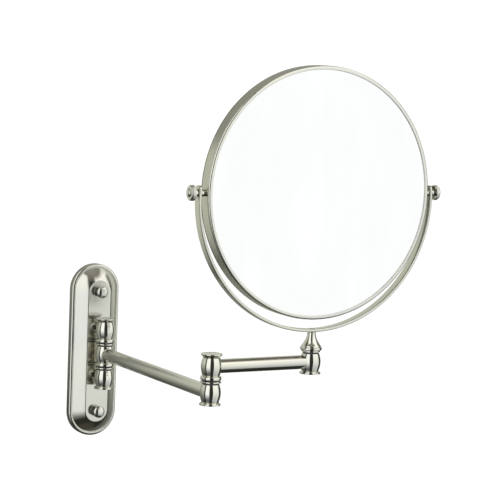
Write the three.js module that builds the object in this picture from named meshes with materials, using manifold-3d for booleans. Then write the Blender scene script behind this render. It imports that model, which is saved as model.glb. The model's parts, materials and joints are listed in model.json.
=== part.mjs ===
// Extendable shaving mirror: a round two-sided mirror in a yoke, on a two-link arm hinged to a wall plate.
// Millimetres, +Z up. The wall is the plane y = 0 and the mirror stands out of it along -Y.
// The origin is the centre of the bracket's back face, the face that lies on the wall.
import * as THREE from "three";
import { mergeVertices } from "three/addons/utils/BufferGeometryUtils.js";
import Module from "manifold-3d";

const wasm = await Module();
wasm.setup();

// ---------------------------------------------------------------- driving dimensions
const plate = {
  width: 45,
  height: 153,
  rimDepth: 6,
  rimRound: 0.6,
  lip: 2.6,
  lipFall: 0.3,
  panelWidth: 20.5,
  panelHeight: 125,
  panelDepth: 14,
  wall: 1.5,
  bevelSteps: 4,
};
const bracket = { width: 18, height: 124, thick: 2, screwHoleRadius: 2.6, screwHoleZ: 32 };
const stud = { z: 53, radius: 2.4, length: 18.6 };
const nut = { radius: 5.3, length: 8.4, dome: 2.9, boreDepth: 5.6 };
const reach = { wallToPost: 28, arm1: 200, arm2: 90 };
const knuckle = {
  barrel: 14.2,
  collar: 6.8,
  bead: 3.6,
  ring: 2.6,
  waistRadius: 6.9,
  bellyRadius: 8.3,
  beadRadius: 8.35,
  shoulder: 0.2,
  barrelSteps: 4,
};
const flareCurve = 1.5;
const cap = { height: 3.1, neckRadius: 6.6, rimRadius: 8.6, edge: 0.8, boreDepth: 2.1 };
const foot = { height: 2.3, neckRadius: 6.8, rimRadius: 8.5, edge: 0.5, boreDepth: 1.7 };
const pin = { radius: 3, bore: 3.2 };
const washer = { radius: 7.2, thick: 0.4 };
const spring = { inner: 3.4, outer: 5, thick: 0.4, rise: 0.4, recessRadius: 5.3, recessDepth: 1 };
const boss = { radius: 4.8, screwRadius: 1.8, screwTip: 21.2, headRadius: 3.6, headThick: 2 };
const tube = { radius: 5.6, bore: 4.6, spigotRadius: 4.4, spigotReach: 16, start: 5.5 };
const stem = { ring: 1.9, ringRadius: 7.6, band: 2.9, bandCrown: 2, bandRadius: 8.8, screwTop: 36 };
const cone = { foot: 8, curve: 1.9, steps: 4, top: 44, neckRadius: 3.4 };
const stemBolt = { radius: 1.3, length: 7.4, headRadius: 3, headDepth: 1.5 };
const mirror = { radius: 101.5, depth: 14.4, centreZ: 157.5, lip: 3.3, rimRound: 0.6, bezelDepth: 2 };
const band = { wall: 1.8 };
const glass = { radius: 99.3, thick: 3, recess: 0.85, curveRadius: 1000, curvedThick: 2, bowlSteps: 3 };
const pad = { radius: 86, thick: 1 };
const spacer = { inner: 87.5, outer: 90.5 };
const yoke = { radius: 108, thick: 2.5, width: 8, drop: 4, overPivot: 6, cornerRadius: 3 };
const pivot = { screwRadius: 2, spacerRadius: 2.8, bossRadius: 3, bossInner: 92, screwInner: 94 };
const knob = {
  neckRadius: 3.3,
  neckStart: 108.25,
  bodyStart: 111,
  end: 116.8,
  radius: 6.2,
  round: 1.6,
  boreEnd: 113.6,
};
const clear = 0.1; // between faces that meet squarely
const snug = 0.15; // round a threaded or pressed shank
const loose = 0.3; // round a shank in its clearance hole, and between a tube's shaped end and its barrel
const over = 1; // how far a cutting tool runs past the face that it opens
const sides = 16; // round pieces that show
const innerSides = 12; // round pieces that are hidden inside
const headSides = 48; // round pieces of the mirror head
const archSteps = 8; // a half-round end of the plate and of the bracket
const yokeSteps = 18; // the yoke's half circle
const cornerSteps = 2; // the yoke's rounded corners

// ---------------------------------------------------------------- derived levels
const pitch = knuckle.barrel + knuckle.collar;
const halfBarrel = knuckle.barrel / 2;
const split = knuckle.collar - knuckle.bead - knuckle.ring;
const post1 = new THREE.Vector3(0, -reach.wallToPost, 0);
const post2 = new THREE.Vector3(0, post1.y - reach.arm1, 0);
const post3 = new THREE.Vector3(reach.arm2, post2.y, 0);
const headCentre = new THREE.Vector3(post3.x, post3.y, mirror.centreZ);
const yokeCentreZ = mirror.centreZ - yoke.drop;
const yokeBottomZ = yokeCentreZ - yoke.radius;
const yokeInnerZ = yokeBottomZ + yoke.thick;

// ---------------------------------------------------------------- finishes
const finish = (color, roughness, metalness) => () =>
  new THREE.MeshStandardMaterial({ color, roughness, metalness });
const satinNickel = finish(0xb9b6a6, 0.38, 1);
const polishedNickel = finish(0xd2d0c6, 0.16, 1);
const mirrorGlass = finish(0xf4f6f6, 0.02, 1);
const zincSteel = finish(0x9fa3a6, 0.45, 1);
const springSteel = finish(0x6f7173, 0.35, 1);
const nylon = finish(0xdedbd0, 0.6, 0);
const foam = finish(0x3a3a3c, 0.95, 0);

// ---------------------------------------------------------------- geometry helpers
// A ring or disc about Y, for the mirror head, from [radius, y] pairs that run towards +Y along its outside.
function turnedAboutY(section, segments = headSides) {
  const points = section.map(([radius, y]) => new THREE.Vector2(radius, y));
  return new THREE.LatheGeometry(points, segments);
}

// A solid of revolution about Z from [radius, z] pairs that run upwards along its outside.
const turned = (section, segments = sides) => turnedAboutY(section, segments).rotateX(Math.PI / 2);

// A solid rod about Z between two heights.
const rod = (radius, low, high, segments = innerSides) =>
  turned([[0, low], [radius, low], [radius, high], [0, high]], segments);

// The same rod laid along Y, from y = near to the larger y = far, at height z.
const rodAlongY = (radius, near, far, z = 0) =>
  rod(radius, near, far).rotateX(-Math.PI / 2).translate(0, 0, z);

// The same rod laid along X.
const rodAlongX = (radius, near, far, segments) => rod(radius, near, far, segments).rotateY(Math.PI / 2);

const weld = 1e-3;
function toManifold(geometry) {
  const bare = geometry.clone();
  bare.deleteAttribute("normal");
  bare.deleteAttribute("uv");
  const merged = mergeVertices(bare, weld);
  return new wasm.Manifold(
    new wasm.Mesh({
      numProp: 3,
      vertProperties: merged.attributes.position.array,
      triVerts: new Uint32Array(merged.index.array),
    }),
  );
}

function fromManifold(solid) {
  const made = solid.getMesh();
  const geometry = new THREE.BufferGeometry();
  geometry.setAttribute("position", new THREE.BufferAttribute(made.vertProperties, made.numProp));
  geometry.setIndex(new THREE.BufferAttribute(made.triVerts, 1));
  return geometry;
}

const joined = (base, additions) =>
  fromManifold(additions.reduce((sum, extra) => sum.add(toManifold(extra)), toManifold(base)));
const cut = (base, tools) =>
  fromManifold(tools.reduce((rest, tool) => rest.subtract(toManifold(tool)), toManifold(base)));
const common = (a, b) => fromManifold(toManifold(a).intersect(toManifold(b)));

// A closed skin through rings of points with the same count, with a flat lid on the first and last ring.
function lofted(rings) {
  const count = rings[0].length;
  const positions = rings.flat().flatMap((p) => [p.x, p.y, p.z]);
  const faces = [];
  for (let row = 0; row + 1 < rings.length; row++) {
    for (let i = 0; i < count; i++) {
      const a = row * count + i;
      const b = row * count + ((i + 1) % count);
      faces.push(a, b, a + count, b, b + count, a + count);
    }
  }
  const last = (rings.length - 1) * count;
  for (let i = 1; i + 1 < count; i++) {
    faces.push(0, i + 1, i);
    faces.push(last, last + i, last + i + 1);
  }
  const geometry = new THREE.BufferGeometry();
  geometry.setAttribute("position", new THREE.Float32BufferAttribute(positions, 3));
  geometry.setIndex(faces);
  return geometry;
}

// ---------------------------------------------------------------- wall plate and bracket
// An upright slot outline (straight sides, half-round ends) in the plane at depth y.
function slotRing(width, height, y) {
  const radius = width / 2;
  const straight = height / 2 - radius;
  const ring = [];
  for (const end of [1, -1]) {
    for (let i = 0; i <= archSteps; i++) {
      const angle = (i / archSteps) * Math.PI;
      ring.push(
        new THREE.Vector3(end * radius * Math.cos(angle), y, end * (straight + radius * Math.sin(angle))),
      );
    }
  }
  return ring;
}

// The plate's outer skin from the wall forwards: rim, rounded lip, crowned bevel, flat panel.
function plateSkin(inset, backY) {
  const rimWidth = plate.width - 2 * inset;
  const rimHeight = plate.height - 2 * inset;
  const lipWidth = plate.width - 2 * plate.lip;
  const lipHeight = plate.height - 2 * plate.lip;
  const panelWidth = plate.panelWidth - inset;
  const panelHeight = plate.panelHeight - inset;
  const rings = [
    slotRing(rimWidth, rimHeight, backY),
    slotRing(rimWidth, rimHeight, inset - plate.rimDepth + plate.rimRound),
    slotRing(rimWidth - plate.rimRound, rimHeight - plate.rimRound, inset - plate.rimDepth),
    slotRing(lipWidth - inset, lipHeight - inset, inset - plate.rimDepth - plate.lipFall),
  ];
  for (let i = 1; i <= plate.bevelSteps; i++) {
    const along = i / plate.bevelSteps;
    const rise = Math.sin((along * Math.PI) / 2);
    rings.push(
      slotRing(
        THREE.MathUtils.lerp(lipWidth - inset, panelWidth, along),
        THREE.MathUtils.lerp(lipHeight - inset, panelHeight, along),
        inset - THREE.MathUtils.lerp(plate.rimDepth + plate.lipFall, plate.panelDepth, rise),
      ),
    );
  }
  return lofted(rings);
}

function wallPlate() {
  const tools = [plateSkin(plate.wall, over)];
  for (const side of [1, -1]) {
    tools.push(rodAlongY(stud.radius + loose, -plate.panelDepth - over, 0, side * stud.z));
    tools.push(rodAlongY(boss.screwRadius + loose, -plate.panelDepth - over, 0, side * pitch));
  }
  return cut(plateSkin(0, 0), tools);
}

// A flat strip with round ends, two wall-screw holes and two stud holes.
function wallBracket() {
  const radius = bracket.width / 2;
  const straight = bracket.height / 2 - radius;
  const outline = new THREE.Shape();
  outline.absarc(0, straight, radius, 0, Math.PI, false);
  outline.absarc(0, -straight, radius, Math.PI, 2 * Math.PI, false);
  outline.closePath();
  const holes = [
    [bracket.screwHoleZ, bracket.screwHoleRadius],
    [-bracket.screwHoleZ, bracket.screwHoleRadius],
    [stud.z, stud.radius + snug],
    [-stud.z, stud.radius + snug],
  ];
  for (const [z, holeRadius] of holes) {
    outline.holes.push(new THREE.Path().absarc(0, z, holeRadius, 0, 2 * Math.PI, true));
  }
  const strip = new THREE.ExtrudeGeometry(outline, {
    depth: bracket.thick,
    bevelEnabled: false,
    curveSegments: archSteps,
  });
  return strip.rotateX(Math.PI / 2);
}

// The domed nut that holds the plate on a stud, drawn standing on z = 0.
function capNut() {
  const { radius, length, dome, boreDepth } = nut;
  const bore = stud.radius + snug;
  const section = [[bore, 0], [radius, 0], [radius, length - dome]];
  for (const angle of [30, 60]) {
    const turn = THREE.MathUtils.degToRad(angle);
    section.push([radius * Math.cos(turn), length - dome + dome * Math.sin(turn)]);
  }
  section.push([0, length], [0, boreDepth], [bore, boreDepth], [bore, 0]);
  return turned(section).rotateX(Math.PI / 2).translate(0, -plate.panelDepth - clear, 0);
}

const studRod = () => rodAlongY(stud.radius, -stud.length, -clear);

// The screw from behind the plate into a knuckle's boss.
function knuckleScrew() {
  const headBack = plate.wall + clear - plate.panelDepth;
  const head = rodAlongY(boss.headRadius, headBack, headBack + boss.headThick);
  return joined(head, [rodAlongY(boss.screwRadius, -boss.screwTip, headBack + boss.headThick / 2)]);
}

// ---------------------------------------------------------------- turned posts
// The swelling side of a barrel, from its lower to its upper waist.
function barrelSide(low, grow = 0) {
  const side = [];
  for (let i = 0; i <= knuckle.barrelSteps; i++) {
    const along = i / knuckle.barrelSteps;
    const swell = (knuckle.bellyRadius - knuckle.waistRadius) * Math.sin(along * Math.PI);
    side.push([knuckle.waistRadius + swell + grow, low + along * knuckle.barrel]);
  }
  return side;
}

// The side of a bead or ring: fullest at its middle and drawn in a little at both edges.
const collarSide = (low, high) => [
  [knuckle.beadRadius - knuckle.shoulder, low],
  [knuckle.beadRadius, (low + high) / 2],
  [knuckle.beadRadius - knuckle.shoulder, high],
];

// One knuckle centred on its arm's height, bored for the pin, with the collars it carries.
function knuckleBody({ bead = false, ring = false, recess = false }) {
  const bore = pin.bore;
  const side = barrelSide(-halfBarrel);
  if (bead) side.unshift(...collarSide(-halfBarrel - knuckle.bead, -halfBarrel));
  if (ring) side.push(...collarSide(halfBarrel, halfBarrel + knuckle.ring));
  const low = side[0][1];
  const high = side[side.length - 1][1];
  const { recessRadius, recessDepth } = spring;
  const mouth = recess
    ? [[bore, low + recessDepth], [recessRadius, low + recessDepth], [recessRadius, low]]
    : [[bore, low]];
  return turned([...mouth, ...side, [bore, high], mouth[0]]);
}

// A flared cap with its narrow neck down, standing on z = 0, with a blind bore for the pin.
function flaredCap({ height, neckRadius, rimRadius, edge, boreDepth }) {
  const bore = pin.radius + snug;
  const section = [[bore, 0]];
  for (const along of [0, 0.5, 1]) {
    const flare = (rimRadius - neckRadius) * along ** flareCurve;
    section.push([neckRadius + flare, (height - edge) * along]);
  }
  section.push([rimRadius, height], [0, height], [0, boreDepth], [bore, boreDepth], [bore, 0]);
  return turned(section);
}

const topCap = () => flaredCap(cap);
const bottomCap = () => flaredCap(foot).rotateX(Math.PI);

// A coned spring washer, drawn from z = 0 up.
function springWasher() {
  const { inner, outer, thick, rise } = spring;
  const section = [[inner, rise], [outer, 0], [outer, thick], [inner, rise + thick], [inner, rise]];
  return turned(section, innerSides);
}

// A flat washer round a pin, drawn from z = 0 up.
function flatWasher() {
  const { radius, thick } = washer;
  return turned([[pin.bore, 0], [radius, 0], [radius, thick], [pin.bore, thick], [pin.bore, 0]], innerSides);
}

// A fixed knuckle on the wall plate: barrel, collar, and a boss that reaches back to the panel.
function wallKnuckle(options) {
  const bossFront = reach.wallToPost - plate.panelDepth - clear;
  const body = joined(knuckleBody(options), [rodAlongY(boss.radius, pin.bore + over, bossFront)]);
  const boreEnd = reach.wallToPost - boss.screwTip - loose;
  return cut(body, [rodAlongY(boss.screwRadius + snug, boreEnd, bossFront + over)]);
}

// An arm's knuckle with the spigot that the tube is pressed on, along the given turn about Z.
function armKnuckle(options, spigotTurn) {
  const spigot = rodAlongX(tube.spigotRadius, pin.bore + over, tube.spigotReach).rotateZ(spigotTurn);
  return joined(knuckleBody(options), [spigot]);
}

// A tube along X between two posts, its ends shaped to the barrels they meet.
function armTube(length) {
  const outer = rodAlongX(tube.radius, tube.start, length - tube.start, sides);
  const bore = rodAlongX(tube.bore, 0, length, sides);
  const barrel = turned([[0, -halfBarrel], ...barrelSide(-halfBarrel, loose), [0, halfBarrel]]);
  return cut(outer, [bore, barrel, barrel.clone().translate(length, 0, 0)]);
}

// ---------------------------------------------------------------- swivel stem and yoke
function yokeStem() {
  const low = pitch + halfBarrel + split;
  const bore = pin.radius + snug;
  const ringTop = low + stem.ring;
  const bandLow = ringTop + loose;
  const bandTop = bandLow + stem.band;
  const section = [
    [bore, low],
    [stem.ringRadius, low],
    [stem.ringRadius, ringTop],
    [stem.ringRadius + loose, bandLow],
    [stem.bandRadius, bandLow + stem.bandCrown],
  ];
  for (let i = 0; i <= cone.steps; i++) {
    const along = i / cone.steps;
    const flare = (cone.foot - cone.neckRadius) * (1 - along) ** cone.curve;
    section.push([cone.neckRadius + flare, THREE.MathUtils.lerp(bandTop, cone.top, along)]);
  }
  const top = yokeBottomZ - snug;
  const boreTop = stem.screwTop + loose;
  section.push([cone.neckRadius, top], [0, top], [0, boreTop], [bore, boreTop], [bore, low]);
  const tapLow = yokeInnerZ - stemBolt.length - loose;
  return cut(turned(section), [rod(stemBolt.radius + snug, tapLow, top + over)]);
}

// The countersunk bolt that holds the yoke on its stem, flush with the yoke's inner face.
function stemScrew() {
  const { radius, length, headRadius, headDepth } = stemBolt;
  const top = yokeInnerZ - clear;
  const section = [[0, top - length], [radius, top - length], [radius, top - headDepth], [headRadius, top]];
  return turned([...section, [0, top]], innerSides);
}

// The half-round path of the strip, extruded to its width.
function yokeArc() {
  const endAngle = Math.asin((yoke.drop + yoke.overPivot + over) / yoke.radius);
  const arc = new THREE.Shape();
  arc.absarc(0, 0, yoke.radius, -Math.PI - endAngle, endAngle, false);
  arc.absarc(0, 0, yoke.radius - yoke.thick, endAngle, -Math.PI - endAngle, true);
  arc.closePath();
  const options = { depth: yoke.width, bevelEnabled: false, curveSegments: yokeSteps };
  const strip = new THREE.ExtrudeGeometry(arc, options);
  return strip.rotateX(Math.PI / 2).translate(0, yoke.width / 2, yokeCentreZ);
}

// Everything inside the strip's side outline: its width, and its two round-cornered ends.
function yokeEnvelope() {
  const half = yoke.width / 2;
  const top = mirror.centreZ + yoke.overPivot;
  const corner = yoke.cornerRadius;
  const outline = new THREE.Shape();
  outline.moveTo(half + over, yokeBottomZ - over);
  outline.lineTo(half + over, top - 2 * corner);
  outline.lineTo(half, top - 2 * corner);
  outline.absarc(half - corner, top - corner, corner, 0, Math.PI / 2, false);
  outline.absarc(corner - half, top - corner, corner, Math.PI / 2, Math.PI, false);
  outline.lineTo(-half, top - 2 * corner);
  outline.lineTo(-half - over, top - 2 * corner);
  outline.lineTo(-half - over, yokeBottomZ - over);
  outline.closePath();
  const span = 2 * (yoke.radius + over);
  const options = { depth: span, bevelEnabled: false, curveSegments: cornerSteps };
  const block = new THREE.ExtrudeGeometry(outline, options);
  return block.translate(0, 0, -span / 2).rotateX(Math.PI / 2).rotateZ(Math.PI / 2);
}

// The yoke: a flat strip bent into an arc, bored for the two pivots and countersunk for its stem bolt.
function yokeStrip() {
  const reachX = yoke.radius + over;
  const pivotBore = rodAlongX(pivot.screwRadius + loose, -reachX, reachX).translate(0, 0, mirror.centreZ);
  const shankRadius = stemBolt.radius + snug;
  const headRadius = stemBolt.headRadius + loose;
  const sink = turned([
    [0, yokeBottomZ - over],
    [shankRadius, yokeBottomZ - over],
    [shankRadius, yokeInnerZ - stemBolt.headDepth - snug],
    [headRadius, yokeInnerZ],
    [headRadius, yokeInnerZ + over],
    [0, yokeInnerZ + over],
  ]);
  return cut(common(yokeArc(), yokeEnvelope()), [pivotBore, sink]);
}

// ---------------------------------------------------------------- mirror head, drawn about its own centre
const faceY = mirror.depth / 2;
const bandHalf = faceY - mirror.bezelDepth;

function mirrorBand() {
  const inner = mirror.radius - band.wall;
  const half = bandHalf - clear / 2;
  const outer = mirror.radius - clear;
  const ring = turnedAboutY([
    [inner, -half],
    [outer, -half],
    [outer, half],
    [inner, half],
    [inner, -half],
  ]);
  const reachX = mirror.radius + over;
  return cut(ring, [rodAlongX(pivot.screwRadius + snug, -reachX, reachX)]);
}

// The rim that holds one glass, drawn for the side that faces +Y.
function bezel() {
  const seat = glass.radius + loose;
  const base = bandHalf + clear / 2;
  const lipBack = faceY - glass.recess + clear;
  const inner = mirror.radius - mirror.lip;
  return turnedAboutY([
    [seat, base],
    [mirror.radius, base],
    [mirror.radius, faceY - mirror.rimRound],
    [mirror.radius - mirror.rimRound, faceY],
    [inner, faceY],
    [inner, lipBack],
    [seat, lipBack],
    [seat, base],
  ]);
}

const glassFace = faceY - glass.recess;
const flatGlass = () =>
  turnedAboutY([
    [0, glassFace - glass.thick],
    [glass.radius, glassFace - glass.thick],
    [glass.radius, glassFace],
    [0, glassFace],
  ]);

// The magnifying glass is a shallow bowl: its bright face sinks towards the centre.
function bowlFace(radius) {
  return glassFace - (glass.radius ** 2 - radius ** 2) / (2 * glass.curveRadius);
}
function curvedGlass() {
  const back = [];
  const front = [];
  for (let i = 0; i <= glass.bowlSteps; i++) {
    const radius = glass.radius * Math.sqrt(i / glass.bowlSteps);
    back.push([radius, bowlFace(radius) - glass.curvedThick]);
    front.unshift([radius, bowlFace(radius)]);
  }
  return turnedAboutY([...back, ...front]);
}

const padBack = glassFace - glass.thick - clear;
function backingPad() {
  const padFace = padBack - pad.thick;
  return turnedAboutY([[0, padFace], [pad.radius, padFace], [pad.radius, padBack], [0, padBack]]);
}

// The ring that keeps the two glasses apart.
function spacerRing() {
  const { inner, outer } = spacer;
  const flatSide = padBack - clear;
  const curvedSide = -(bowlFace(inner) - glass.curvedThick - 2 * clear);
  return turnedAboutY([
    [inner, curvedSide],
    [outer, curvedSide],
    [outer, flatSide],
    [inner, flatSide],
    [inner, curvedSide],
  ]);
}

// The threaded boss inside the band, drawn on the +X side as are the pivot pieces that follow.
function pivotBoss() {
  const outer = mirror.radius - band.wall - loose;
  const bore = rodAlongX(pivot.screwRadius + snug, pivot.bossInner - over, outer + over);
  return cut(rodAlongX(pivot.bossRadius, pivot.bossInner, outer), [bore]);
}

function pivotSpacer() {
  const outer = Math.sqrt((yoke.radius - yoke.thick) ** 2 - yoke.drop ** 2) - loose;
  const bore = rodAlongX(pivot.screwRadius + snug, mirror.radius - over, outer + over);
  return cut(rodAlongX(pivot.spacerRadius, mirror.radius + clear, outer), [bore]);
}

const pivotScrew = () => rodAlongX(pivot.screwRadius, pivot.screwInner, knob.boreEnd - clear);

// A thumb knob on the pivot screw: short neck, round-edged body, blind bore.
function thumbKnob() {
  const { neckRadius, neckStart, bodyStart, end, radius, round, boreEnd } = knob;
  const bore = pivot.screwRadius + snug;
  const section = [
    [bore, neckStart],
    [neckRadius, neckStart],
    [neckRadius, bodyStart],
    [radius - round / 2, bodyStart],
    [radius, bodyStart + round / 2],
    [radius, end - round],
    [radius - round, end],
    [0, end],
    [0, boreEnd],
    [bore, boreEnd],
    [bore, neckStart],
  ];
  return turned(section).rotateY(Math.PI / 2);
}

// ---------------------------------------------------------------- assembly
function piece(name, geometry, material, x = 0, y = 0, z = 0) {
  const mesh = new THREE.Mesh(geometry, material());
  mesh.name = name;
  mesh.position.set(x, y, z);
  return mesh;
}

// A pin from just inside the bottom cap, whose mouth is at height bottom, to just under height end.
const pinRod = (bottom, end) => rod(pin.radius, bottom - foot.boreDepth + clear, end - clear);

// The pin, caps and spring washer of one post, with its lowest knuckle at low and its highest at high.
function hinge(prefix, low, high) {
  const group = new THREE.Group();
  const bottom = low - halfBarrel - clear;
  const top = high + halfBarrel + clear;
  group.add(
    piece(`${prefix}_pin`, pinRod(bottom, top + cap.boreDepth), zincSteel),
    piece(`${prefix}_top_cap`, topCap(), polishedNickel, 0, 0, top),
    piece(`${prefix}_bottom_cap`, bottomCap(), polishedNickel, 0, 0, bottom),
    piece(`${prefix}_spring_washer`, springWasher(), springSteel, 0, 0, low - halfBarrel + clear),
  );
  return group;
}

// The height of the washer in the collar above the knuckle at height z.
const washerZ = (z) => z + halfBarrel + knuckle.ring + (split - washer.thick) / 2;

function wallGroup() {
  const group = new THREE.Group();
  group.add(
    piece("wall_bracket", wallBracket(), zincSteel),
    piece("wall_plate", wallPlate(), satinNickel),
  );
  for (const [place, side] of [["upper", 1], ["lower", -1]]) {
    group.add(
      piece(`bracket_stud_${place}`, studRod(), zincSteel, 0, 0, side * stud.z),
      piece(`cap_nut_${place}`, capNut(), polishedNickel, 0, 0, side * stud.z),
      piece(`knuckle_screw_${place}`, knuckleScrew(), zincSteel, 0, 0, side * pitch),
    );
  }
  const post = new THREE.Group();
  post.position.copy(post1);
  post.add(
    piece("wall_knuckle_upper", wallKnuckle({ bead: true }), polishedNickel, 0, 0, pitch),
    piece("wall_knuckle_lower", wallKnuckle({ ring: true, recess: true }), polishedNickel, 0, 0, -pitch),
    piece("wall_washer_upper", flatWasher(), nylon, 0, 0, washerZ(0)),
    piece("wall_washer_lower", flatWasher(), nylon, 0, 0, washerZ(-pitch)),
    hinge("wall_hinge", -pitch, pitch),
  );
  group.add(post);
  return group;
}

function arm1Group() {
  const group = new THREE.Group();
  group.position.copy(post1);
  const outwards = -Math.PI / 2;
  group.add(
    piece("arm1_rear_knuckle", armKnuckle({ bead: true, ring: true }, outwards), polishedNickel),
    piece("arm1_tube", armTube(reach.arm1).rotateZ(outwards), satinNickel),
  );
  const elbow = new THREE.Group();
  elbow.position.set(0, -reach.arm1, 0);
  elbow.add(
    piece("arm1_front_knuckle", armKnuckle({ ring: true, recess: true }, -outwards), polishedNickel),
    piece("elbow_washer", flatWasher(), nylon, 0, 0, washerZ(0)),
    hinge("elbow", 0, pitch),
  );
  group.add(elbow);
  return group;
}

function arm2Group() {
  const group = new THREE.Group();
  group.position.set(post2.x, post2.y, pitch);
  group.add(
    piece("arm2_rear_knuckle", armKnuckle({ bead: true }, 0), polishedNickel),
    piece("arm2_tube", armTube(reach.arm2), satinNickel),
    piece("arm2_front_knuckle", armKnuckle({ recess: true }, Math.PI), polishedNickel, reach.arm2, 0, 0),
    piece("swivel_washer", flatWasher(), nylon, reach.arm2, 0, halfBarrel + (split - washer.thick) / 2),
  );
  return group;
}

function yokeGroup() {
  const group = new THREE.Group();
  group.position.copy(post3);
  const bottom = pitch - halfBarrel - clear;
  group.add(
    piece("swivel_bottom_cap", bottomCap(), polishedNickel, 0, 0, bottom),
    piece("swivel_spring_washer", springWasher(), springSteel, 0, 0, bottom + 2 * clear),
    piece("swivel_screw", pinRod(bottom, stem.screwTop), zincSteel),
    piece("yoke_stem", yokeStem(), polishedNickel),
    piece("yoke", yokeStrip(), satinNickel),
    piece("stem_screw", stemScrew(), zincSteel),
  );
  return group;
}

function headGroup() {
  const group = new THREE.Group();
  group.position.copy(headCentre);
  const turnToFront = Math.PI;
  group.add(
    piece("mirror_band", mirrorBand(), satinNickel),
    piece("front_bezel", bezel().rotateX(turnToFront), satinNickel),
    piece("rear_bezel", bezel(), satinNickel),
    piece("front_glass", flatGlass().rotateX(turnToFront), mirrorGlass),
    piece("rear_glass", curvedGlass(), mirrorGlass),
    piece("backing_pad", backingPad().rotateX(turnToFront), foam),
    piece("spacer_ring", spacerRing().rotateX(turnToFront), nylon),
  );
  for (const [place, turn] of [["right", 0], ["left", Math.PI]]) {
    group.add(
      piece(`pivot_boss_${place}`, pivotBoss().rotateZ(turn), zincSteel),
      piece(`pivot_spacer_${place}`, pivotSpacer().rotateZ(turn), polishedNickel),
      piece(`pivot_screw_${place}`, pivotScrew().rotateZ(turn), zincSteel),
      piece(`knob_${place}`, thumbKnob().rotateZ(turn), polishedNickel),
    );
  }
  return group;
}

const shavingMirror = new THREE.Group();
shavingMirror.add(wallGroup(), arm1Group(), arm2Group(), yokeGroup(), headGroup());

export default shavingMirror;
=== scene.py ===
"""The looks of the extendable shaving mirror: fine metal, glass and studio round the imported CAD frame."""

import json
import math

import bmesh
import bpy
from mathutils import Matrix, Vector


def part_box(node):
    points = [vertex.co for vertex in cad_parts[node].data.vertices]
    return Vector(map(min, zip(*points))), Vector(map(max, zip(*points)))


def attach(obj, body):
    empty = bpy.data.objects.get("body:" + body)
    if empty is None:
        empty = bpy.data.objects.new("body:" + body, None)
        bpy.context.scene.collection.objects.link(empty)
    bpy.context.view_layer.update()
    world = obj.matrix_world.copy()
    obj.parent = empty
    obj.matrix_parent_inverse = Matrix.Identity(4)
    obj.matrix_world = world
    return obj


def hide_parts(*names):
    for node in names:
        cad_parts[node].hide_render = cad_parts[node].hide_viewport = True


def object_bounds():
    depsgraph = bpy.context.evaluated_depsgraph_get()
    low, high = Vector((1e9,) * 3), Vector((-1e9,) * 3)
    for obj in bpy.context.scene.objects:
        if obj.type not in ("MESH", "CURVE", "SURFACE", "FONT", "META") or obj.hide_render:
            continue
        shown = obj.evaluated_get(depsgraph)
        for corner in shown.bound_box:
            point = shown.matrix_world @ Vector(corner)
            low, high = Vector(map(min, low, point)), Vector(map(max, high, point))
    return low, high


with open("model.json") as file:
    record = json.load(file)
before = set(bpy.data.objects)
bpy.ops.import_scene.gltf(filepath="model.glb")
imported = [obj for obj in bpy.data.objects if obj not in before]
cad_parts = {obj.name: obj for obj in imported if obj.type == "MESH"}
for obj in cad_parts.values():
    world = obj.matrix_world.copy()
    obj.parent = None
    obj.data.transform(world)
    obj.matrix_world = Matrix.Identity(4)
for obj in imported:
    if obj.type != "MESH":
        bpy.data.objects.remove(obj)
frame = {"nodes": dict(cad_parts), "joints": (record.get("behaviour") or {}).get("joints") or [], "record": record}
cad_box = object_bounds()

# ---------------------------------------------------------------- the frame's names and places
MM = 0.001
record = frame["record"]
joint_place = {j["name"]: Vector(j["pos_m"]) for j in frame["joints"] if "pos_m" in j}
body_of_node = {n: body for body, nodes in record["behaviour"]["bodies"].items() for n in nodes}
slot_of_node = {s["node"]: s["material_slot"] for s in record["subparts"]}
wall_post = joint_place["wall_swing"]
elbow_post = joint_place["elbow_swing"]
swivel_post = joint_place["head_swivel"]
head_centre = joint_place["mirror_tilt"]
pitch = elbow_post.z - wall_post.z
levels = {"lower": wall_post.z - pitch, "middle": wall_post.z, "upper": wall_post.z + pitch}

# ---------------------------------------------------------------- sizes in millimetres
# "round" is how far from a sharp corner its small curve starts.
clear = 0.1  # the gap left between pieces that touch
# The plate's lip curves lip_fall mm up to the depth rim, crown is how much the bevel swells, and panel_lap is
# how far its outline runs on over the flat panel. Inside, the lip is wider by inner_lip of the wall.
plate = {
    "width": 45, "height": 153, "wall": 1.5, "panel_width": 20.5, "panel_height": 125, "panel_depth": 14,
    "panel_lap": 3, "rim": 6, "lip": 2.4, "inner_lip": 0.4, "lip_fall": 1.9, "groove": 0.45, "crown": 0.33,
    "round": 0.75, "inner_round": 0.3,
}
nut = {"radius": 5.3, "length": 8.4, "dome": 2.9, "bore": 2.5, "bore_depth": 5.6, "round": 0.3}
# A knuckle's barrel swells from waist to belly, and the bead and ring swell from collar_foot to collar. The
# higher collar_power, the fuller their shoulders.
knuckle = {
    "barrel": 14.2, "waist": 6.9, "belly": 8.3, "bore": 3.2, "bead": 3.6, "ring": 2.6, "collar": 8.35,
    "collar_foot": 7.1, "collar_power": 3, "round": 0.18,
}
bead_groove = {"height": 0.35, "depth": 0.5}
ring_groove = {"height": 1.1, "depth": 0.9}
recess = {"radius": 5.3, "depth": 1}
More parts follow.
